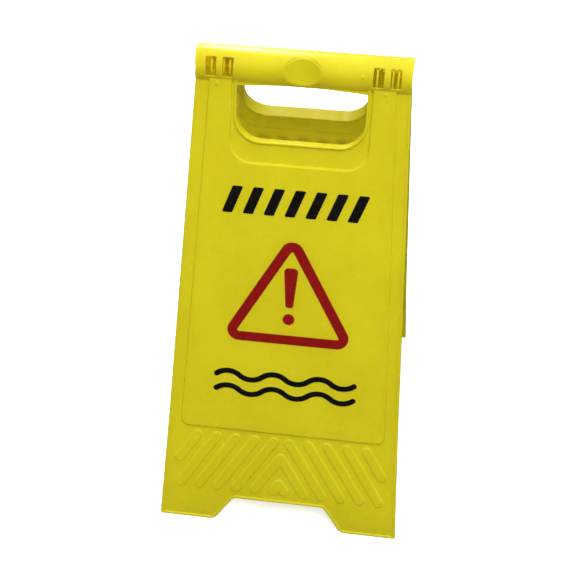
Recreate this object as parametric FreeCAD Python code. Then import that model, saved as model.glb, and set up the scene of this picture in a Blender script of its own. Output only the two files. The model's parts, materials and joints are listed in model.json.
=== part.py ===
import FreeCAD, Part
import math
import os

os.makedirs("parts", exist_ok=True)
V = FreeCAD.Vector

# Wet floor sign, free standing, two moulded panels hinged along the top handle.
# Millimetres.  X runs along the hinge, Y from the front panel to the back panel,
# Z up.  The origin is on the floor, under the middle of the hinge.
#
# Each panel is drawn flat, with the hinge axis as its X axis:
#   u  across the panel (X)
#   s  down the panel from the hinge axis (-Z)
#   w  outwards from the plane between the folded panels (-Y)
# and is then tilted and placed.

# ---- driving dimensions ------------------------------------------------------
LEAN_DEG = 18.35          # lean of each panel from the vertical when open
PANEL_LEN = 585.0         # hinge axis to foot, along the panel face
HALF_W_TOP = 117.1        # half width of the panel at the hinge axis
HALF_W_KNEE = 142.9       # half width where the sides begin to flare to the feet
KNEE = 430.0
HALF_W_FOOT = 153.4       # half width of the panel at the feet
FACE_W = 14.4             # panel face, above the folding plane
WALL = 2.4                # skin of the face and of the handle
FLANGE = 2.2              # turned edges and the wall round the hand hole
FOLD_GAP = 0.3            # panel edge to the folding plane
SEAM_GAP = 0.15           # handle shell edge to the plane of the open stop

ROLL_R = 21.5             # outer radius of the handle
ROLL_FLARE = 0.07         # the ends of the handle lean outwards above the hinge axis
SLOT_W = 11.7             # hinge windows in the handle
SLOT_TOP = 10.6
SLOT_BOTTOM = -10.2
SLOT_U = (81.5, 100.2)    # centres of the inner and outer windows
LEDGE_TOP = 7.7           # ledge inside the handle, behind the lower edge of the windows
LEDGE_R = 17.95
AXLE_R = 4.0              # moulded hinge axle
CLAW_BORE_R = 4.06        # claw that turns on the axle
CLAW_R = 17.5             # outline of a claw
CLAW_T = 2.0
CLAW_MOUTH = 7.3          # snap mouth, narrower than the axle

FIELD_RISE = 2.6          # raised print field
FIELD_EDGE = 1.5
FIELD_TOP_HALF = 101.2
FIELD_SLOPE = 0.0594
FIELD_BOTTOM = 448.0
FIELD_R = 10.0
BIB_HALF = 77.0           # recess of the field round the hand hole
BIB_BOTTOM = 104.5
BIB_R = 24.0
BIB_BOTTOM_IN = 115.0     # the same step on the inside of the panel

HOLE_HALF = 71.4          # hand hole under the handle
HOLE_TOP = 19.4
HOLE_TOP_MID = 16.6
HOLE_BOTTOM = 79.4
HOLE_R = 28.0
RIM_W = 2.6
RIM_RISE = 2.4

BEAD_W = 3.8              # raised bead along the outline, rounded over the edge
BEAD_RISE = 1.0
EDGE_R = 2.0

NOTCH_TOP = 550.2         # gap between the two feet
NOTCH_HALF_TOP = 57.9
NOTCH_HALF_FOOT = 82.6

FLAT_HALF_U = 20.2        # oval thumb flat on the handle, at its floor
FLAT_HALF_S = 15.1
FLAT_FLARE = 0.12         # sideways run of its sides, per unit of height
FLAT_DEPTH = 14.7         # hinge axis to the flat
FLAT_TILT = 0.5
FLAT_SHIFT = 0.4          # middle of the flat above the hinge axis

RIB_W = 12.8              # slanted grip ribs above the feet
RIB_RISE = 1.2
RIB_SIDE = 1.2            # sloping side of a rib, in plan
RIB_PITCH = 24.2
RIB_FIRST = 9.5           # centre of the first rib's upper end
RIB_TOP = 454.4
RIB_BOTTOM = 540.4
RIB_RUN = 45.6            # sideways run of a rib, end centre to end centre

MARK_R = 4.0              # small moulding marks, parts of a sphere
MARK_RISE = 0.9

INK = 0.2                 # thickness of the printed layer
BAR_TOP = 132.0           # row of hazard bars
BAR_BOTTOM = 164.0
BAR_PITCH = 24.0
BAR_W = 12.0
BAR_SLANT = 12.0
BAR_COUNT = 7
SIGN_TOP = 180.0          # equilateral triangle
SIGN_SIDE = 166.0
SIGN_BAND = 12.0
SIGN_R = 14.0
WAVE_S = (371.0, 391.0)   # two wave lines
WAVE_W = 7.0
WAVE_CHORD = 28.0
WAVE_RISE = 5.0
WAVE_COUNT = 6

LEAN = math.radians(LEAN_DEG)
HINGE_Z = PANEL_LEN * math.cos(LEAN) - FACE_W * math.sin(LEAN)


# ---- drawing helpers -----------------------------------------------------------
def half_width(s):
    if s <= KNEE:
        return HALF_W_TOP + (HALF_W_KNEE - HALF_W_TOP) * s / KNEE
    return HALF_W_KNEE + (HALF_W_FOOT - HALF_W_KNEE) * (s - KNEE) / (PANEL_LEN - KNEE)


def field_half(s):
    return FIELD_TOP_HALF + FIELD_SLOPE * s


def wire_of(points, w=0.0):
    """Closed wire in the panel plane from (u, s, corner radius) points."""
    count = len(points)
    edges = []
    starts = []
    ends = []
    mids = []
    for i in range(count):
        px, py = points[i - 1][0], points[i - 1][1]
        x, y = points[i][0], points[i][1]
        r = points[i][2] if len(points[i]) > 2 else 0.0
        nx, ny = points[(i + 1) % count][0], points[(i + 1) % count][1]
        if r <= 0:
            starts.append((x, y))
            ends.append((x, y))
            mids.append(None)
            continue
        ax, ay = px - x, py - y
        bx, by = nx - x, ny - y
        la, lb = math.hypot(ax, ay), math.hypot(bx, by)
        ax, ay, bx, by = ax / la, ay / la, bx / lb, by / lb
        half = math.acos(max(-1.0, min(1.0, ax * bx + ay * by))) / 2
        t = r / math.tan(half)
        cx, cy = ax + bx, ay + by
        lc = math.hypot(cx, cy)
        cx, cy = x + cx / lc * r / math.sin(half), y + cy / lc * r / math.sin(half)
        dx, dy = x - cx, y - cy
        ld = math.hypot(dx, dy)
        starts.append((x + ax * t, y + ay * t))
        ends.append((x + bx * t, y + by * t))
        mids.append((cx + dx / ld * r, cy + dy / ld * r))

    def at(p):
        return V(p[0], -w, -p[1])

    for i in range(count):
        if mids[i] is not None:
            edges.append(Part.Arc(at(starts[i]), at(mids[i]), at(ends[i])).toShape())
        a, b = ends[i], starts[(i + 1) % count]
        if math.hypot(a[0] - b[0], a[1] - b[1]) > 1e-6:
            edges.append(Part.LineSegment(at(a), at(b)).toShape())
    return Part.Wire(edges)


def prism(points, w0, w1):
    return Part.Face(wire_of(points, w0)).extrude(V(0, -(w1 - w0), 0))


def inset(points, t):
    """The same outline moved inwards by t (outwards when t is negative)."""
    area = 0.0
    count = len(points)
    for i in range(count):
        x0, y0 = points[i - 1][0], points[i - 1][1]
        x1, y1 = points[i][0], points[i][1]
        area += x0 * y1 - x1 * y0
    turn = 1.0 if area > 0 else -1.0
    out = []
    for i in range(count):
        p, q, n = points[i - 1], points[i], points[(i + 1) % count]
        d1 = (q[0] - p[0], q[1] - p[1])
        d2 = (n[0] - q[0], n[1] - q[1])
        l1, l2 = math.hypot(*d1), math.hypot(*d2)
        n1 = (-d1[1] / l1 * turn, d1[0] / l1 * turn)
        n2 = (-d2[1] / l2 * turn, d2[0] / l2 * turn)
        cross = d1[0] * d2[1] - d1[1] * d2[0]
        a = (q[0] + n1[0] * t, q[1] + n1[1] * t)
        b = (q[0] + n2[0] * t, q[1] + n2[1] * t)
        k = ((b[0] - a[0]) * d2[1] - (b[1] - a[1]) * d2[0]) / cross
        r = q[2] if len(q) > 2 else 0.0
        if r > 0:
            convex = cross * turn > 0
            r = max(0.3, r - t) if convex else max(0.3, r + t)
        out.append((a[0] + d1[0] * k, a[1] + d1[1] * k, r))
    return out


def round_edges(shape, radius, w, inside=None, outside=None, tol=0.01):
    """Round the edges in the plane at height w, or only those inside or outside an outline."""
    chosen = []
    for e in shape.Edges:
        box = e.BoundBox
        if abs(box.YMin + w) > tol or abs(box.YMax + w) > tol:
            continue
        if inside or outside:
            face = Part.Face(wire_of(inside or outside, w))
            middle = e.valueAt((e.FirstParameter + e.LastParameter) / 2)
            if face.isInside(middle, 0.05, True) != bool(inside):
                continue
        chosen.append(e)
    try:
        done = shape.makeFillet(radius, chosen)
        if done.isValid() and done.Volume > 0:
            return done
    except Exception as err:
        print("edge rounding skipped:", err)
    return shape


def to_panel(shape):
    """From the standing sign to the flat drawing of the front panel."""
    shape.translate(V(0, 0, -HINGE_Z))
    shape.rotate(V(0, 0, 0), V(1, 0, 0), LEAN_DEG)
    return shape


def to_front(shape):
    out = shape.copy()
    out.rotate(V(0, 0, 0), V(1, 0, 0), -LEAN_DEG)
    out.translate(V(0, 0, HINGE_Z))
    return out


def to_back(shape):
    out = to_front(shape)
    out.rotate(V(0, 0, 0), V(0, 0, 1), 180)
    return out


def capsule_wire(u0, s0, u1, s1, width, w):
    """Outline of a bar with round ends between two centres."""
    dx, dy = u1 - u0, s1 - s0
    length = math.hypot(dx, dy)
    dx, dy = dx / length, dy / length
    r = width / 2
    nx, ny = -dy * r, dx * r

    def at(u, s):
        return V(u, -w, -s)

    return Part.Wire([
        Part.LineSegment(at(u0 + nx, s0 + ny), at(u1 + nx, s1 + ny)).toShape(),
        Part.Arc(at(u1 + nx, s1 + ny), at(u1 + dx * r, s1 + dy * r),
                 at(u1 - nx, s1 - ny)).toShape(),
        Part.LineSegment(at(u1 - nx, s1 - ny), at(u0 - nx, s0 - ny)).toShape(),
        Part.Arc(at(u0 - nx, s0 - ny), at(u0 - dx * r, s0 - dy * r),
                 at(u0 + nx, s0 + ny)).toShape(),
    ])


def capsule(u0, s0, u1, s1, width, w0, w1):
    """A flat bar with round ends between two centres."""
    return Part.Face(capsule_wire(u0, s0, u1, s1, width, w0)).extrude(V(0, -(w1 - w0), 0))


def x_cylinder(r, u0, u1):
    return Part.makeCylinder(r, u1 - u0, V(u0, 0, 0), V(1, 0, 0))


# ---- outlines -------------------------------------------------------------------
OUTLINE = [
    (-half_width(0), 0.0, 0),
    (half_width(0), 0.0, 0),
    (HALF_W_KNEE, KNEE, 400.0),
    (half_width(PANEL_LEN), PANEL_LEN, 2.5),
    (NOTCH_HALF_FOOT, PANEL_LEN, 10.0),
    (NOTCH_HALF_TOP, NOTCH_TOP, 8.0),
    (-NOTCH_HALF_TOP, NOTCH_TOP, 8.0),
    (-NOTCH_HALF_FOOT, PANEL_LEN, 10.0),
    (-half_width(PANEL_LEN), PANEL_LEN, 2.5),
    (-HALF_W_KNEE, KNEE, 400.0),
]
FIELD = [
    (-field_half(12.5), 12.5, 0),
    (-BIB_HALF, 12.5, 0),
    (-BIB_HALF, BIB_BOTTOM, BIB_R),
    (BIB_HALF, BIB_BOTTOM, BIB_R),
    (BIB_HALF, 12.5, 0),
    (field_half(12.5), 12.5, 0),
    (field_half(FIELD_BOTTOM), FIELD_BOTTOM, FIELD_R),
    (-field_half(FIELD_BOTTOM), FIELD_BOTTOM, FIELD_R),
]


def hole_points(grow):
    """Hand hole; its upper edge is a shallow arch made of three runs."""
    half = HOLE_HALF + grow
    top = HOLE_TOP - grow
    mid = HOLE_TOP_MID - grow
    return [
        (-half, top, 1.0 + grow),
        (-24.0, mid, 90.0),
        (24.0, mid, 90.0),
        (half, top, 1.0 + grow),
        (half, HOLE_BOTTOM + grow, HOLE_R + grow),
        (-half, HOLE_BOTTOM + grow, HOLE_R + grow),
    ]


def handle_points(top, low, t=0.0):
    """Outline of the handle: it follows the panel below the hinge axis and flares above it."""
    wide = HALF_W_TOP - ROLL_FLARE * top - t
    return [
        (-wide, top, 0),
        (wide, top, 0),
        (HALF_W_TOP - t, 0.0, 0),
        (half_width(low) - t, low, 0),
        (-half_width(low) + t, low, 0),
        (-HALF_W_TOP + t, 0.0, 0),
    ]


def ridge(u0, s0, u1, s1):
    """A raised rib on the panel face with sloping sides and a rounded back."""
    side = RIB_SIDE / RIB_RISE
    buried = 1.0
    foot = capsule_wire(u0, s0, u1, s1, RIB_W + 2 * side * buried, FACE_W - buried)
    crest = capsule_wire(u0, s0, u1, s1, RIB_W - 2 * RIB_SIDE, FACE_W + RIB_RISE)
    solid = Part.makeLoft([foot, crest], True, True)
    return round_edges(solid, 1.0, FACE_W + RIB_RISE)


def thumb_flat(grow):
    """Cutter for the oval flat in the middle of the handle, square to the grip."""
    low = FLAT_DEPTH - grow
    rise = 24.0 - FLAT_DEPTH
    base = Part.Ellipse(V(FLAT_HALF_U + grow, 0, 0), V(0, FLAT_HALF_S + grow, 0), V(0, 0, 0))
    wide = FLAT_HALF_U + grow + rise * FLAT_FLARE
    tall = FLAT_HALF_S + grow + rise * FLAT_FLARE
    top = Part.Ellipse(V(wide, 0, 0), V(0, tall, 0), V(0, 0, 0))
    base = base.toShape()
    top = top.toShape()
    base.translate(V(0, 0, low))
    top.translate(V(0, 0, low + rise))
    cone = Part.makeLoft([Part.Wire([base]), Part.Wire([top])], True, True)
    floor_edges = [e for e in cone.Edges if e.BoundBox.ZMax < low + 0.01]
    try:
        soft = cone.makeFillet(1.2, floor_edges)
        if soft.isValid():
            cone = soft
    except Exception as err:
        print("flat floor rounding skipped:", err)
    cone.rotate(V(0, 0, 0), V(1, 0, 0), 90 - FLAT_TILT)
    cone.translate(V(0, 0, FLAT_SHIFT))
    return cone


def soften_flat(roll):
    """Round the outer edge of the thumb flat."""
    rim = []
    for e in roll.Edges:
        middle = e.valueAt((e.FirstParameter + e.LastParameter) / 2)
        radius = math.hypot(middle.y, middle.z)
        if abs(middle.x) < 40 and middle.y < 0 and abs(radius - ROLL_R) < 0.05:
            if e.BoundBox.XLength < 60:
                rim.append(e)
    for size in (0.8, 0.4):
        try:
            soft = roll.makeFillet(size, rim)
            if soft.isValid() and soft.Volume > 0:
                print("flat edge rounded", size)
                return soft
        except Exception as err:
            print("flat edge rounding", size, "skipped:", err)
    return roll


# ---- the panel moulding -----------------------------------------------------------
def make_panel(claws, collars, ledges):
    # outside: tray, handle, raised field, bead and rim
    tray = prism(OUTLINE, FOLD_GAP, FACE_W - EDGE_R)
    tray = tray.fuse(prism(inset(OUTLINE, EDGE_R + 0.4), 5.0, FACE_W))
    roll = x_cylinder(ROLL_R, -130, 130).common(prism(handle_points(-30, 40), -30, 30))
    ends = []
    for e in roll.Edges:
        box = e.BoundBox
        if box.YLength > 30 and abs(box.XMin) > 100:
            ends.append(e)
    try:
        rounded = roll.makeFillet(0.8, ends)
        if rounded.isValid():
            roll = rounded
    except Exception as err:
        print("handle end rounding skipped:", err)
    roll = soften_flat(roll.cut(thumb_flat(0.0)))

    field = round_edges(prism(FIELD, 13.0, FACE_W + FIELD_RISE), FIELD_EDGE, FACE_W + FIELD_RISE)

    bead_out = [(p[0], 13.6, p[2]) if p[1] == 0.0 else p for p in OUTLINE]
    bead_out[0] = (-half_width(13.6), 13.6, 0)
    bead_out[1] = (half_width(13.6), 13.6, 0)
    bead = prism(bead_out, 11.0, FACE_W + BEAD_RISE)
    bead_in = inset(bead_out, BEAD_W)
    bead_in[0] = (bead_in[0][0], 5.0, 0)
    bead_in[1] = (bead_in[1][0], 5.0, 0)
    bead = bead.cut(prism(bead_in, 10.0, 30.0))
    middle = inset(bead_out, BEAD_W / 2)
    middle[0] = (middle[0][0], 5.0, 0)
    middle[1] = (middle[1][0], 5.0, 0)
    bead = round_edges(bead, EDGE_R, FACE_W + BEAD_RISE, outside=middle)
    bead = round_edges(bead, 0.9, FACE_W + BEAD_RISE, inside=middle)

    rim_out = hole_points(RIM_W)
    rim_out = [(p[0], 14.5, 0) if p[1] < 30 else p for p in rim_out]
    rim_out = [rim_out[0], rim_out[3], rim_out[4], rim_out[5]]
    rim_in = hole_points(0)
    rim_in = [(p[0], 5.0, 0) if p[1] < 30 else p for p in rim_in]
    rim_in = [rim_in[0], rim_in[3], rim_in[4], rim_in[5]]
    rim = prism(rim_out, 13.0, FACE_W + RIM_RISE).cut(prism(rim_in, 10.0, 30.0))
    rim = round_edges(rim, 1.0, FACE_W + RIM_RISE)

    outer = tray.fuse([roll, field, bead, rim])

    # inside: the hollow of the handle and of the tray
    hollow = x_cylinder(ROLL_R - WALL, -130, 130)
    hollow = hollow.common(prism(handle_points(-30, 40, FLANGE), -30, 30))
    cavity = prism(inset(OUTLINE, FLANGE), -2.0, FACE_W - WALL)
    floor_skin = to_panel(Part.makeBox(800, 800, 200, V(-400, -400, -200 + WALL)))
    cavity = cavity.cut(floor_skin)
    cavity = cavity.cut(prism(hole_points(FLANGE), -10, 30))
    inner_step = inset(FIELD, FLANGE)
    inner_step[2] = (inner_step[2][0], BIB_BOTTOM_IN, BIB_R)
    inner_step[3] = (inner_step[3][0], BIB_BOTTOM_IN, BIB_R)
    recess = prism(inner_step, 10.0, FACE_W + FIELD_RISE - WALL)
    recess = recess.cut(prism(hole_points(FLANGE), -10, 30))
    body = outer.cut([hollow, cavity, recess])

    # the shell follows the thumb flat on its inside
    backing = thumb_flat(WALL).common(x_cylinder(ROLL_R - 1.2, -60, 60)).cut(thumb_flat(0.0))
    body = body.fuse(backing)

    # webs that carry the hinge axle on one side, and that brace the other side
    pie = Part.makeBox(400, 60, 120, V(-200, -60 - FOLD_GAP, -60))
    seam = Part.makeBox(400, 200, 400, V(-200, -200 - SEAM_GAP, -200))
    seam.rotate(V(0, 0, 0), V(1, 0, 0), LEAN_DEG)

    def web(u_mid, thick):
        disc = x_cylinder(ROLL_R - WALL + 0.4, u_mid - thick / 2, u_mid + thick / 2)
        leg = Part.makeBox(thick, FACE_W - WALL + 0.4, 26.0, V(u_mid - thick / 2, -(FACE_W - WALL + 0.4), -26.0))
        return disc.fuse(leg).common(pie)

    inner_u = HOLE_HALF + FLANGE / 2
    webs = [web(sign * u, FLANGE) for sign in (-1, 1) for u in (inner_u, 90.6)]
    body = body.fuse(webs)

    # windows over the hinge, one pair at each end of the handle
    for sign in (-1, 1):
        for u in SLOT_U:
            u0, u1 = sign * u - SLOT_W / 2, sign * u + SLOT_W / 2
            window = [(u0, -SLOT_TOP, 0.8), (u1, -SLOT_TOP, 0.8), (u1, -SLOT_BOTTOM, 0.8), (u0, -SLOT_BOTTOM, 0.8)]
            body = body.cut(prism(window, 12.0, 32.0))

    # ledge behind the lower edge of the windows, clear of the claws
    ledge = x_cylinder(ROLL_R - WALL + 0.3, -112, 112).cut(x_cylinder(LEDGE_R, -120, 120))
    for sign in ledges:
        strip = Part.makeBox(36, 20, 4.6, V(min(sign * 73, sign * 109), -24, -LEDGE_TOP - 4.6))
        body = body.fuse(ledge.common(strip))

    # hand hole, folding plane, open stop and floor
    body = body.cut(prism(hole_points(0), -10, 40))
    body = body.common(pie.fuse(prism([(-200, 50, 0), (200, 50, 0), (200, 700, 0), (-200, 700, 0)],
                                      FOLD_GAP, 60)))
    body = body.common(Part.makeBox(400, 60, 800, V(-200, -60 - FOLD_GAP, -700)))
    body = body.common(prism([(-200, -40, 0), (200, -40, 0), (200, 0, 0), (-200, 0, 0)], -30, 60)
                       .common(seam).fuse(prism([(-200, 0, 0), (200, 0, 0), (200, 700, 0), (-200, 700, 0)],
                                                FOLD_GAP, 60)))
    floor = to_panel(Part.makeBox(800, 800, 200, V(-400, -400, -200)))
    body = body.cut(floor)

    # room for the other panel's axle in every wall that it passes
    body = body.cut(x_cylinder(AXLE_R + 0.35, 60, 130))

    # axle at the left end, its collars, and the claws at the right end
    extra = [x_cylinder(AXLE_R, -half_width(-4) + 0.4, -inner_u + FLANGE / 2)]
    for u in collars:
        extra.append(x_cylinder(9.5, u - 0.7, u + 0.7))
    for u in claws:
        root = x_cylinder(ROLL_R - WALL + 0.5, u - CLAW_T / 2, u + CLAW_T / 2)
        root = root.common(pie).common(seam)
        plate = x_cylinder(CLAW_R, u - CLAW_T / 2, u + CLAW_T / 2).fuse(root)
        plate = plate.cut(x_cylinder(CLAW_BORE_R, u - 5, u + 5))
        mouth = Part.makeBox(10, 40, CLAW_MOUTH, V(u - 5, 0, -CLAW_MOUTH / 2))
        extra.append(plate.cut(mouth))
    body = body.fuse(extra)

    # slanted ribs above the feet
    ribs = []
    r = RIB_W / 2
    top, low = RIB_TOP + r, RIB_BOTTOM - r
    slant = RIB_RUN / (low - top)
    for sign in (-1, 1):
        for k in range(5):
            u0 = RIB_FIRST + RIB_PITCH * k
            end = low if k < 4 else top + 0.49 * (low - top)
            ribs.append(ridge(sign * u0, top, sign * (u0 + slant * (end - top)), end))
        ribs.append(ridge(0, 483.4, sign * slant * (low - 483.4), low))
        ribs.append(ridge(0, 521.8, sign * 6.4, 532.6))
    body = body.fuse(ribs)

    # small moulding marks near the ends of the handle
    marks = []
    for u, s, top in ((-93.4, 18.8, FACE_W + FIELD_RISE), (91.0, 17.6, FACE_W + FIELD_RISE)):
        ball = Part.makeSphere(MARK_R, V(u, -(top + MARK_RISE - MARK_R), -s))
        marks.append(ball.common(Part.makeBox(20, 4, 20, V(u - 10, -top - 3, -s - 10))))
    ball = Part.makeSphere(MARK_R, V(64.6, -(ROLL_R + MARK_RISE - MARK_R), 0.4))
    marks.append(ball.cut(x_cylinder(ROLL_R - 1.2, 50, 80)))
    body = body.fuse(marks)
    merged = body.copy().removeSplitter()
    if merged.isValid() and abs(merged.Volume - body.Volume) < 1.0:
        body = merged
    print("panel: faces", len(body.Faces), "solids", len(body.Solids), "valid", body.isValid(), "volume cm3", round(body.Volume / 1000, 1))
    return body


# ---- print on the field: plain generic signs, no lettering ---------------------------
INK0 = FACE_W + FIELD_RISE
INK1 = INK0 + INK


def hazard_bars():
    """A row of slanted bars."""
    bars = []
    left = -(BAR_PITCH * (BAR_COUNT - 1) + BAR_W + BAR_SLANT) / 2
    for k in range(BAR_COUNT):
        u = left + BAR_PITCH * k
        bar = [(u + BAR_SLANT, BAR_TOP, 1.5), (u + BAR_SLANT + BAR_W, BAR_TOP, 1.5),
               (u + BAR_W, BAR_BOTTOM, 1.5), (u, BAR_BOTTOM, 1.5)]
        bars.append(prism(bar, INK0, INK1))
    return Part.makeCompound(bars)


def triangle():
    """Equilateral band with rounded corners, point up."""
    drop = SIGN_SIDE * math.sqrt(3) / 2
    outer = [(0.0, SIGN_TOP, SIGN_R), (SIGN_SIDE / 2, SIGN_TOP + drop, SIGN_R),
             (-SIGN_SIDE / 2, SIGN_TOP + drop, SIGN_R)]
    return prism(outer, INK0, INK1).cut(prism(inset(outer, SIGN_BAND), INK0 - 1, INK1 + 1))


def alert_mark():
    """Tapered bar over a dot."""
    bar = [(-8.5, 226.0, 5.0), (8.5, 226.0, 5.0), (4.5, 276.0, 3.5), (-4.5, 276.0, 3.5)]
    dot = Part.makeCylinder(7.0, INK, V(0, -INK0, -291.0), V(0, -1, 0))
    return Part.makeCompound([prism(bar, INK0, INK1), dot])


def wave(s):
    """A wavy line of even width made of arcs, with round ends."""
    half = WAVE_CHORD / 2
    radius = (half * half + WAVE_RISE * WAVE_RISE) / (2 * WAVE_RISE)
    reach = math.asin(half / radius)
    start = -half * (WAVE_COUNT - 1)
    sides = ([], [])

    def at(centre, angle, r, turn):
        return V(centre[0] + r * math.sin(angle), -INK0, -(centre[1] - turn * r * math.cos(angle)))

    for k in range(WAVE_COUNT):
        turn = 1 if k % 2 == 0 else -1
        centre = (start + WAVE_CHORD * k, s + turn * (radius - WAVE_RISE))
        for side, shift in ((0, WAVE_W / 2), (1, -WAVE_W / 2)):
            r = radius + turn * shift
            sides[side].append(Part.Arc(at(centre, -reach, r, turn), at(centre, 0, r, turn),
                                        at(centre, reach, r, turn)).toShape())
    edges = sides[0] + sides[1]
    ends = []
    for k, sign in ((0, -1), (WAVE_COUNT - 1, 1)):
        turn = 1 if k % 2 == 0 else -1
        centre = (start + WAVE_CHORD * k, s + turn * (radius - WAVE_RISE))
        angle = sign * reach
        middle = at(centre, angle, radius, turn)
        out = V(math.cos(reach) * sign, 0, -turn * math.sin(reach))
        tip = middle + out * (WAVE_W / 2)
        ends.append(Part.Arc(at(centre, angle, radius + turn * WAVE_W / 2, turn), tip,
                             at(centre, angle, radius - turn * WAVE_W / 2, turn)).toShape())
    wire = Part.Wire(Part.__sortEdges__(edges + ends))
    return Part.Face(wire).extrude(V(0, -INK, 0))


def waves():
    return Part.makeCompound([wave(s) for s in WAVE_S])


# ---- write every piece -------------------------------------------------------------------
# claw and collar places differ slightly between the two panels, so that the pairs interleave
front_panel = make_panel([80.0, 96.8, 102.6], [], [])
back_panel = make_panel([79.6, 86.4, 99.8], [-77.0, -84.0], [-1, 1])

nodes = {
    "front_panel": to_front(front_panel),
    "back_panel": to_back(back_panel),
}
for side, place in (("front", to_front), ("back", to_back)):
    nodes[side + "_hazard_bars"] = place(hazard_bars())
    nodes[side + "_triangle_band"] = place(triangle())
    nodes[side + "_alert_mark"] = place(alert_mark())
    nodes[side + "_wave_lines"] = place(waves())

for name, shape in nodes.items():
    shape.exportStep("parts/" + name + ".step")
    box = shape.BoundBox
    print(name, "solids", len(shape.Solids), "valid", shape.isValid(),
          "x %.1f..%.1f y %.1f..%.1f z %.1f..%.1f" % (box.XMin, box.XMax, box.YMin, box.YMax, box.ZMin, box.ZMax))
print("hinge height", round(HINGE_Z, 2), "lean", LEAN_DEG)
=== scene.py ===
"""Wet floor sign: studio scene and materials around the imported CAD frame. Metres, Z up."""
import json
import math

import bpy
from mathutils import Matrix, Vector
from mathutils.bvhtree import BVHTree

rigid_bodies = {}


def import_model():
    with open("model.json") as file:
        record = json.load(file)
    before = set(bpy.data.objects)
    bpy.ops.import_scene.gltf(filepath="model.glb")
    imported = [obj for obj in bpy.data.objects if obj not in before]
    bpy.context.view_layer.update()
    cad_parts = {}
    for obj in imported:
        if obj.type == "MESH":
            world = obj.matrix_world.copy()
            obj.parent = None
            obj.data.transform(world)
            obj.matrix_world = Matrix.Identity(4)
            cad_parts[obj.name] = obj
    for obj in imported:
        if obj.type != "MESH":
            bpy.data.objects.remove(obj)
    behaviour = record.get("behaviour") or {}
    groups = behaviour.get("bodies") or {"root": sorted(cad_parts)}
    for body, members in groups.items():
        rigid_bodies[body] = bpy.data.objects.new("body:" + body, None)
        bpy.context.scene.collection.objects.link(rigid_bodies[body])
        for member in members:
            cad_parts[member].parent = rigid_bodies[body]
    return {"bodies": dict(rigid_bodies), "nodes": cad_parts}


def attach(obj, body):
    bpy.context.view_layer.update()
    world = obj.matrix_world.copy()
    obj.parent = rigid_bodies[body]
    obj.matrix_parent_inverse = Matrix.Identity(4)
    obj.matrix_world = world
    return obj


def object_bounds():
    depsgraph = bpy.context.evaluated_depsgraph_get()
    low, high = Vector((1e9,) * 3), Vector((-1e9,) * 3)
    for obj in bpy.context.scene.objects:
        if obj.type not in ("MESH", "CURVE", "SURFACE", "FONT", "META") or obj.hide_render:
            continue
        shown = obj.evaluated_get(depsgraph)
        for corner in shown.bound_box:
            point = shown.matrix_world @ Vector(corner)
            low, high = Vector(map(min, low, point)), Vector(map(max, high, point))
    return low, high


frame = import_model()
bpy.context.view_layer.update()
cad_low, cad_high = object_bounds()
height = cad_high.z
scene = bpy.context.scene


# ---- node helpers ------------------------------------------------------------------
class Nodes:
    """Adds nodes to one tree: make(kind, settings, socket=value or other socket)."""

    def __init__(self, tree):
        self.tree = tree
        tree.nodes.clear()

    def make(self, kind, settings=None, **sockets):
        node = self.tree.nodes.new(kind)
        for name, value in (settings or {}).items():
            setattr(node, name, value)
        for name, value in sockets.items():
            target = self.find(node.inputs, name)
            if isinstance(value, bpy.types.NodeSocket):
                self.tree.links.new(value, target)
            else:
                target.default_value = value
        return node

    def find(self, sockets, name):
        """A socket by its place, i0 for the first, or by name with _ for each blank."""
        if name.startswith("i") and name[1:].isdigit():
            return sockets[int(name[1:])]
        return sockets[name.replace("_", " ")]

    def maths(self, operation, a, b=0.0, clamp=False):
        node = self.make("ShaderNodeMath", {"operation": operation, "use_clamp": clamp}, i0=a, i1=b)
        return node.outputs[0]

    def mix(self, factor, a, b):
        node = self.make("ShaderNodeMix", {"data_type": "RGBA"}, i0=factor, i6=a, i7=b)
        return node.outputs[2]

    def noise(self, where, scale, detail=2.0, roughness=0.5, distortion=0.0):
        node = self.make("ShaderNodeTexNoise", None, Vector=where, Scale=scale, Detail=detail,
                         Roughness=roughness, Distortion=distortion)
        return node.outputs["Fac"]

    def spread(self, value, low, high, to_low=0.0, to_high=1.0):
        """Maps low..high onto to_low..to_high, smoothly and held at the ends."""
        settings = {"interpolation_type": "SMOOTHSTEP", "clamp": True}
        node = self.make("ShaderNodeMapRange", settings, Value=value, From_Min=low, From_Max=high,
                         To_Min=to_low, To_Max=to_high)
        return node.outputs["Result"]

    def stretch(self, where, x, y, z):
        return self.make("ShaderNodeMapping", None, Vector=where, Scale=(x, y, z)).outputs["Vector"]

    def bump(self, height_value, strength, distance, normal=None):
        sockets = {"Strength": strength, "Distance": distance, "Height": height_value}
        if normal is not None:
            sockets["Normal"] = normal
        return self.make("ShaderNodeBump", None, **sockets).outputs["Normal"]


def new_material(name):
    material = bpy.data.materials.new(name)
    material.use_nodes = True
    return material, Nodes(material.node_tree)


# ---- materials ---------------------------------------------------------------------
YELLOW = (0.74, 0.665, 0.010, 1.0)
YELLOW_DEEP = (0.69, 0.605, 0.007, 1.0)
YELLOW_PALE = (0.78, 0.72, 0.022, 1.0)
YELLOW_EDGE_HIGHLIGHT = (0.93, 0.88, 0.045, 1.0)    # painted highlight along rounded edges
YELLOW_HANDLE_LIGHT = (0.97, 0.80, 0.008, 1.0)     # painted light: brightens the shaded inside of the handle to a warmer yellow
THROUGH = (0.93, 0.87, 0.02, 1.0)           # light that has passed through the wall
GRIME = (0.16, 0.13, 0.06, 1.0)
BLACK = (0.003, 0.0025, 0.0015, 1.0)
BLACK_WORN = (0.006, 0.005, 0.003, 1.0)
RED = (0.235, 0.004, 0.003, 1.0)
RED_WORN = (0.265, 0.006, 0.004, 1.0)
PASSING = 0.28             # share of the plastic's look that is light from behind
PASSING_MORE = 0.20        # added to that inside the handle
PLASTIC_IOR = 1.49
INK_IOR = 1.47
HINGE_HEIGHT = 0.5507      # the handle's axis above the floor
HANDLE_INSIDE = 0.0193     # outer radius of what counts as inside the handle
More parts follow.
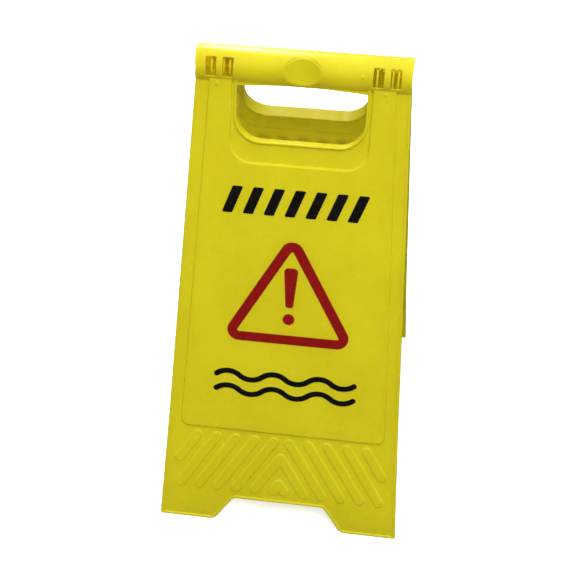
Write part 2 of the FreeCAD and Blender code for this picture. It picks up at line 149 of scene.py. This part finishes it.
HANDLE_FADE = 0.0008       # the inside's colour runs out over this
FLAT_CLEAR = (0.035, 0.050)    # and it starts between these, clear of the thumb flat
EDGE_RADIUS = 0.0018       # edges look rounded to this
SCUFF_TOP = 0.035          # scuffs and dirt reach this far up the feet


def panel_plastic():
    """Semi-gloss yellow polypropylene, slightly translucent, scuffed at the feet."""
    material, n = new_material("panel_polypropylene")
    where = n.make("ShaderNodeTexCoord").outputs["Object"]
    place = n.make("ShaderNodeSeparateXYZ", None, Vector=where)
    up = place.outputs["Z"]

    clouds = n.noise(where, 9.0, 3.0, 0.55, 0.4)
    mottle = n.noise(where, 55.0, 4.0, 0.6)
    flow = n.noise(n.stretch(where, 1.0, 1.0, 0.25), 42.0, 2.0, 0.5, 0.6)
    colour = n.mix(n.spread(clouds, 0.35, 0.70), YELLOW_DEEP, YELLOW)
    colour = n.mix(n.maths("MULTIPLY", n.spread(mottle, 0.45, 0.75), 0.22), colour, YELLOW_PALE)
    colour = n.mix(n.maths("MULTIPLY", n.spread(flow, 0.52, 0.72), 0.10), colour, YELLOW_DEEP)

    # painted light: the shaded inside of the handle is painted a brighter, warmer yellow
    above_axis = n.maths("SUBTRACT", up, HINGE_HEIGHT)
    squares = n.maths("ADD", n.maths("MULTIPLY", above_axis, above_axis),
                      n.maths("MULTIPLY", place.outputs["Y"], place.outputs["Y"]))
    from_axis = n.maths("SQRT", squares)
    within = n.spread(from_axis, HANDLE_INSIDE, HANDLE_INSIDE + HANDLE_FADE, 1.0, 0.0)
    beside_flat = n.spread(n.maths("ABSOLUTE", place.outputs["X"]), *FLAT_CLEAR)
    within = n.maths("MULTIPLY", within, beside_flat)
    colour = n.mix(within, colour, YELLOW_HANDLE_LIGHT)

    # painted highlight: edges are painted paler, more in some places than in others
    soft = n.make("ShaderNodeBevel", {"samples": 6}, Radius=EDGE_RADIUS).outputs["Normal"]
    plain = n.make("ShaderNodeNewGeometry").outputs["Normal"]
    agree = n.make("ShaderNodeVectorMath", {"operation": "DOT_PRODUCT"}, i0=soft, i1=plain)
    edge = n.spread(agree.outputs["Value"], 0.90, 0.998, 1.0, 0.0)
    edge_highlight_patches = n.spread(n.noise(where, 30.0, 3.0, 0.6), 0.30, 0.65, 0.35, 0.85)
    colour = n.mix(n.maths("MULTIPLY", edge, edge_highlight_patches), colour, YELLOW_EDGE_HIGHLIGHT)

    # dirt picked up from the floor, and a few dark specks in the moulding
    near_floor = n.spread(up, 0.0, SCUFF_TOP, 1.0, 0.0)
    smears = n.spread(n.noise(n.stretch(where, 1.0, 1.0, 2.2), 120.0, 5.0, 0.65), 0.50, 0.72)
    dirt = n.maths("MULTIPLY", n.maths("MULTIPLY", near_floor, smears), 0.38)
    colour = n.mix(dirt, colour, GRIME)
    cells = n.make("ShaderNodeTexVoronoi", {"feature": "F1"}, Vector=where, Scale=34.0)
    speck = n.spread(cells.outputs["Distance"], 0.022, 0.034, 1.0, 0.0)
    chance = n.make("ShaderNodeSeparateColor", None, Color=cells.outputs["Color"])
    rare = n.maths("GREATER_THAN", chance.outputs[0], 0.90)
    colour = n.mix(n.maths("MULTIPLY", n.maths("MULTIPLY", speck, rare), 0.55), colour, GRIME)

    # gloss: satin field with smoother and duller patches, and fine rubbed lines
    rubbed = n.noise(n.stretch(where, 0.5, 0.5, 9.0), 210.0, 3.0, 0.6, 0.3)
    rough = n.spread(n.noise(where, 26.0, 4.0, 0.6), 0.3, 0.7, 0.24, 0.32)
    rough = n.maths("ADD", rough, n.maths("MULTIPLY", n.spread(rubbed, 0.56, 0.74), 0.10))
    rough = n.maths("ADD", rough, n.maths("MULTIPLY", dirt, 0.5), clamp=True)

    # surface: the soft edges from above, slight waviness of thin walls, fine grain of the mould
    waves = n.bump(n.noise(where, 14.0, 2.0, 0.5), 0.16, 0.0016, soft)
    grain = n.bump(n.noise(where, 1500.0, 2.0, 0.6), 0.10, 0.00005, waves)
    lines = n.bump(rubbed, 0.05, 0.00008, grain)

    shader = n.make("ShaderNodeBsdfPrincipled", None, Base_Color=colour, Roughness=rough,
                    Normal=lines, IOR=PLASTIC_IOR)
    through = n.make("ShaderNodeBsdfTranslucent", None, Color=THROUGH, Normal=lines)
    passing = n.maths("ADD", PASSING, n.maths("MULTIPLY", within, PASSING_MORE))
    wall = n.make("ShaderNodeMixShader", None, i0=passing, i1=shader.outputs["BSDF"],
                  i2=through.outputs["BSDF"])
    n.make("ShaderNodeOutputMaterial", None, Surface=wall.outputs["Shader"])
    return material


def ink(name, colour, worn_colour, rough_low, rough_high):
    """Screen-printed ink: dense and even, a little patchy, with a few pinholes."""
    material, n = new_material(name)
    where = n.make("ShaderNodeTexCoord").outputs["Object"]
    patch = n.spread(n.noise(where, 70.0, 4.0, 0.6), 0.35, 0.70)
    tint = n.mix(patch, colour, worn_colour)
    pinholes = n.spread(n.noise(where, 900.0, 2.0, 0.5), 0.70, 0.76)
    tint = n.mix(n.maths("MULTIPLY", pinholes, 0.25), tint, YELLOW_DEEP)
    rough = n.spread(n.noise(where, 160.0, 3.0, 0.55), 0.3, 0.7, rough_low, rough_high)
    weave = n.bump(n.noise(where, 1300.0, 1.0, 0.5), 0.12, 0.00004)
    shader = n.make("ShaderNodeBsdfPrincipled", None, Base_Color=tint, Roughness=rough,
                    Normal=weave, IOR=INK_IOR, Specular_IOR_Level=0.15)
    n.make("ShaderNodeOutputMaterial", None, Surface=shader.outputs["BSDF"])
    return material


plastic = panel_plastic()
black_ink = ink("black_print", BLACK, BLACK_WORN, 0.44, 0.56)
red_ink = ink("red_print", RED, RED_WORN, 0.40, 0.52)
FINISH = {
    "panel": plastic,
    "hazard_bars": black_ink,
    "wave_lines": black_ink,
    "triangle_band": red_ink,
    "alert_mark": red_ink,
}
for body in frame["bodies"]:
    for part, material in FINISH.items():
        mesh = frame["nodes"][body + "_" + part].data
        mesh.materials.clear()
        mesh.materials.append(material)


# ---- thumb flats ---------------------------------------------------------------------
LEAN = math.radians(18.35)           # each panel leans this far from upright
DISH_RINGS = 36
DISH_STEPS = 96
DISH_SHIFT = 0.0004                  # the flat's centre below the handle's axis
DISH_HALF_ACROSS = 0.0202
DISH_HALF_DOWN = 0.0151
DISH_REACH = 1.065                   # the piece runs on past the flat, to this many halves
DISH_TUCK = 1.045                    # and from here dips under the skin of the round
DISH_PROUD = 0.00015                 # it stands in front of the round by this
DISH_DIP = 0.0005                    # how deep that dip is
DISH_FLOOR = 0.0158                  # how far the flat lies in front of the handle's axis
DISH_RADIUS = 0.0360                 # hollowed along the handle, straight across it
DISH_BLEND = 0.0010                  # softness of its edge
ROUND_FROM = 0.024                   # the round is whole from this far along the handle
RAY_FROM = 0.05                      # rays towards it start this far in front of the axis
RAY_LENGTH = 0.045


def smooth(value, low, high):
    """0 below low, 1 above high, and a smooth step between."""
    t = min(max((value - low) / (high - low), 0.0), 1.0)
    return t * t * (3 - 2 * t)


def thumb_dish(body, side):
    """A hollow on the handle, read off the round beside it, that runs out softly into it."""
    down = Vector((0, side * math.sin(LEAN), -math.cos(LEAN)))
    out = Vector((0, side * math.cos(LEAN), math.sin(LEAN)))
    centre = Vector((0, 0, HINGE_HEIGHT)) + DISH_SHIFT * down
    panel = frame["nodes"][body + "_panel"]
    skin = BVHTree.FromObject(panel, bpy.context.evaluated_depsgraph_get())
    verts, faces = [], []
    for ring in range(DISH_RINGS + 1):
        reach = DISH_REACH * ring / DISH_RINGS
        for step in range(DISH_STEPS if ring else 1):
            turn = 2 * math.pi * step / DISH_STEPS
            across = DISH_HALF_ACROSS * reach * math.cos(turn)
            below = DISH_HALF_DOWN * reach * math.sin(turn)
            beside = Vector((math.copysign(ROUND_FROM, across), 0, 0))
            start = centre + beside + below * down + RAY_FROM * out
            hit = skin.ray_cast(start, -out, RAY_LENGTH)[0]
            round_at = (hit - centre).dot(out)
            cut_at = DISH_FLOOR + across ** 2 / (2 * DISH_RADIUS)
            near = max(DISH_BLEND - abs(round_at - cut_at), 0.0)
            high = min(round_at, cut_at) - near ** 2 / (4 * DISH_BLEND)
            high += DISH_PROUD - DISH_DIP * smooth(reach, DISH_TUCK, DISH_REACH)
            verts.append(centre + Vector((across, 0, 0)) + below * down + high * out)
    for step in range(DISH_STEPS):
        after = (step + 1) % DISH_STEPS
        faces.append((0, 1 + step, 1 + after))
        for ring in range(DISH_RINGS - 1):
            a = 1 + ring * DISH_STEPS
            b = a + DISH_STEPS
            faces.append((a + step, b + step, b + after, a + after))
    mesh = bpy.data.meshes.new(body + "_thumb_dish")
    mesh.from_pydata(verts, [], faces)
    if mesh.polygons[0].normal.dot(out) < 0:
        mesh.flip_normals()
    mesh.shade_smooth()
    mesh.materials.append(plastic)
    dish = bpy.data.objects.new(body + "_thumb_dish", mesh)
    scene.collection.objects.link(dish)
    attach(dish, body)


thumb_dish("front", -1)
thumb_dish("back", 1)


# ---- floor, light and camera ---------------------------------------------------------
FLOOR_GLOW = 0.42          # keeps the floor pale, with a soft shadow under the feet
FLOOR_HALF = 8 * height
LOW_AIM = (0, 0, 0.3)      # the middle of the panels
HANDLE_AIM = (-0.08, 0, 0.56)
CAMERA_AT = (0.09790, -0.98030, 1.07675)
CAMERA_AIM = (-0.01554, 0.0, 0.23892)
CAMERA_ROLL = -1.047       # degrees
CAMERA_LENS = 62.84        # mm, on a 36 mm sensor
ROOM_STRENGTH = 0.8


def grey(value):
    return (value, value, value, 1.0)


def floor():
    """Pale studio floor. It takes shadows, but lights nothing and isn't mirrored."""
    material, n = new_material("studio_floor")
    where = n.make("ShaderNodeTexCoord").outputs["Object"]
    shade = n.spread(n.noise(where, 3.0, 3.0, 0.5), 0.3, 0.7)
    colour = n.mix(shade, grey(0.90), grey(0.93))
    shader = n.make("ShaderNodeBsdfPrincipled", None, Base_Color=colour, Roughness=0.7,
                    Emission_Color=grey(1.0), Emission_Strength=FLOOR_GLOW)
    n.make("ShaderNodeOutputMaterial", None, Surface=shader.outputs["BSDF"])
    mesh = bpy.data.meshes.new("studio_floor")
    far = FLOOR_HALF
    corners = [(-far, -far, 0), (far, -far, 0), (far, far, 0), (-far, far, 0)]
    mesh.from_pydata(corners, [], [(0, 1, 2, 3)])
    mesh.materials.append(material)
    plane = bpy.data.objects.new("studio_floor", mesh)
    plane.visible_diffuse = False
    plane.visible_glossy = False
    scene.collection.objects.link(plane)


def softbox(name, place, aim, size_x, size_y, watts, mirrored=True, lights=True):
    """An area lamp. Not mirrored: left out of reflections. Not lights: only in reflections."""
    data = bpy.data.lights.new(name, "AREA")
    data.shape = "RECTANGLE"
    data.size = size_x
    data.size_y = size_y
    data.energy = watts
    lamp = bpy.data.objects.new(name, data)
    lamp.location = place
    lamp.visible_glossy = mirrored
    lamp.visible_diffuse = lights
    lamp.visible_transmission = lights
    lamp.rotation_euler = (Vector(aim) - Vector(place)).to_track_quat("-Z", "Y").to_euler()
    scene.collection.objects.link(lamp)


def camera(place, target, roll_degrees, lens):
    """A camera at place that looks at target, turned about its own axis by roll_degrees."""
    data = bpy.data.cameras.new("camera")
    data.sensor_width = 36.0
    data.lens = lens
    data.clip_start = 0.05
    data.clip_end = 50.0
    back = (Vector(place) - Vector(target)).normalized()
    level = (-back).cross(Vector((0, 0, 1))).normalized()
    over = level.cross(-back)
    roll = math.radians(roll_degrees)
    right = math.cos(roll) * level - math.sin(roll) * over
    top = math.sin(roll) * level + math.cos(roll) * over
    turn = Matrix((right, top, back)).transposed().to_4x4()
    eye = bpy.data.objects.new("camera", data)
    eye.matrix_world = Matrix.Translation(place) @ turn
    scene.collection.objects.link(eye)
    scene.camera = eye


floor()
softbox("key", (0.35, -1.15, 2.35), LOW_AIM, 1.1, 1.1, 39, mirrored=False)
softbox("overhead", (0.1, 0.10, 2.4), LOW_AIM, 1.8, 0.9, 14, mirrored=False)
softbox("behind", (-0.2, 1.9, 1.5), LOW_AIM, 1.4, 1.4, 43, mirrored=False)
softbox("gleam", (-0.22, 0.79, 1.16), HANDLE_AIM, 0.14, 0.65, 7.5, lights=False)

# room light: bright above and from the pale floor below, and dim at the horizon. What is
# mirrored is darker, most of all from below, so that faces in shade keep their colour.
world = bpy.data.worlds.new("studio")
world.use_nodes = True
sky = Nodes(world.node_tree)
way = sky.make("ShaderNodeTexCoord").outputs["Generated"]
rise = sky.make("ShaderNodeSeparateXYZ", None, Vector=way).outputs["Z"]
mirrored = sky.make("ShaderNodeLightPath").outputs["Is Glossy Ray"]
level = sky.mix(mirrored, grey(0.30), grey(0.24))
below = sky.mix(mirrored, (0.50, 0.50, 0.49, 1.0), grey(0.10))
above = sky.mix(mirrored, (0.85, 0.87, 0.90, 1.0), grey(0.72))
dome = sky.mix(sky.spread(rise, 0.0, 0.8), level, above)
room = sky.mix(sky.spread(rise, -0.5, 0.0), below, dome)
light = sky.make("ShaderNodeBackground", None, Color=room, Strength=ROOM_STRENGTH)
sky.make("ShaderNodeOutputWorld", None, Surface=light.outputs["Background"])
scene.world = world
scene.view_settings.view_transform = "Standard"

camera(CAMERA_AT, CAMERA_AIM, CAMERA_ROLL, CAMERA_LENS)

bpy.context.view_layer.update()
